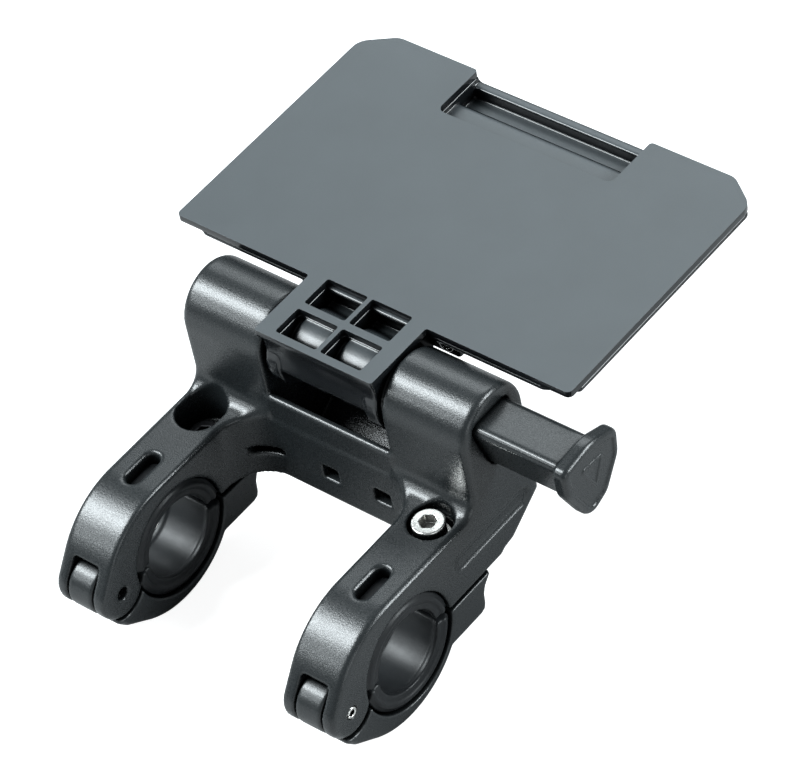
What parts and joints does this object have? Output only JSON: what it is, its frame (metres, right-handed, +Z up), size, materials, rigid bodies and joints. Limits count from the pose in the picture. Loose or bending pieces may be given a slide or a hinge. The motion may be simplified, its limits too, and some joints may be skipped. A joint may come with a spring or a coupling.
{
  "type": "phone mount",
  "caption": "Handlebar mount with hinged bar clamps and a flat notched plate that tilts on a barrel hinge and is locked by a side push button.",
  "frame": {"origin": "middle of the plate's top face; the handlebar's axis is 85 mm in front of it and 51.6 mm below", "axes": "+X along the handlebar towards the push button, +Y back along the plate, +Z up out of the plate"},
  "size_m": [0.1348, 0.1592, 0.071],
  "materials": {
    "black_steel": "black oxide",
    "bracket_plastic": "satin black, glass-filled, fine speckle",
    "brass": "turned",
    "bright_steel": "bright zinc plate",
    "button_plastic": "satin black",
    "inner_plastic": "plain moulded",
    "jaw_plastic": "satin, dark grey",
    "pad_rubber": "smooth, slightly glossy black",
    "plate_plastic": "fine satin, dark grey",
    "spring_steel": "drawn spring wire"
  },
  "bodies": {
    "bracket": {"bracket_body": "bracket_plastic", "hinge_bush_left": "inner_plastic", "hinge_bush_right": "inner_plastic", "end_plug": "bracket_plastic", "jaw_pin_left": "bright_steel", "jaw_pin_right": "bright_steel", "bar_pad_upper_left": "pad_rubber", "bar_pad_upper_right": "pad_rubber", "return_spring": "spring_steel"},
    "plate": {"top_plate": "plate_plastic", "plate_carrier": "plate_plastic", "rear_screw_left": "bright_steel", "rear_screw_right": "bright_steel", "spine_screw_left": "bright_steel", "spine_screw_right": "bright_steel"},
    "button": {"button_shaft": "button_plastic", "button_cap": "button_plastic", "lock_cone": "inner_plastic", "retaining_ring": "spring_steel"},
    "jaw_left": {"clamp_jaw_left": "jaw_plastic", "bar_pad_lower_left": "pad_rubber", "thread_insert_left": "brass"},
    "bolt_left": {"clamp_bolt_left": "black_steel", "bolt_washer_left": "black_steel"},
    "jaw_right": {"clamp_jaw_right": "jaw_plastic", "bar_pad_lower_right": "pad_rubber", "thread_insert_right": "brass"},
    "bolt_right": {"clamp_bolt_right": "bright_steel", "bolt_washer_right": "bright_steel"}
  },
  "joints": [
    {"name": "plate_tilt", "type": "hinge", "parent": "bracket", "child": "plate", "pos_m": [0, -0.0432, -0.0121], "axis": [1, 0, 0], "range_deg": [-30, 60]},
    {"name": "button_push", "type": "slide", "parent": "bracket", "child": "button", "axis": [-1, 0, 0], "range_m": [0, 0.008], "stiffness_N_per_m": 600, "springref_m": -0.004, "deforming": ["return_spring"]},
    {"name": "jaw_left_open", "type": "hinge", "parent": "bracket", "child": "jaw_left", "pos_m": [-0.0362, -0.1069, -0.0511], "axis": [-1, 0, 0], "range_deg": [0, 60]},
    {"name": "bolt_left_undo", "type": "slide", "parent": "bracket", "child": "bolt_left", "axis": [0, 0, 1], "range_m": [0, 0.0126]},
    {"name": "jaw_right_open", "type": "hinge", "parent": "bracket", "child": "jaw_right", "pos_m": [0.0362, -0.1069, -0.0511], "axis": [-1, 0, 0], "range_deg": [0, 60]},
    {"name": "bolt_right_undo", "type": "slide", "parent": "bracket", "child": "bolt_right", "axis": [0, 0, 1], "range_m": [0, 0.0126]}
  ],
  "couplings": [
    {"joint": "bolt_left_undo", "follows": "jaw_left_open", "m_per_rad": 0.012},
    {"joint": "bolt_right_undo", "follows": "jaw_right_open", "m_per_rad": 0.012}
  ]
}
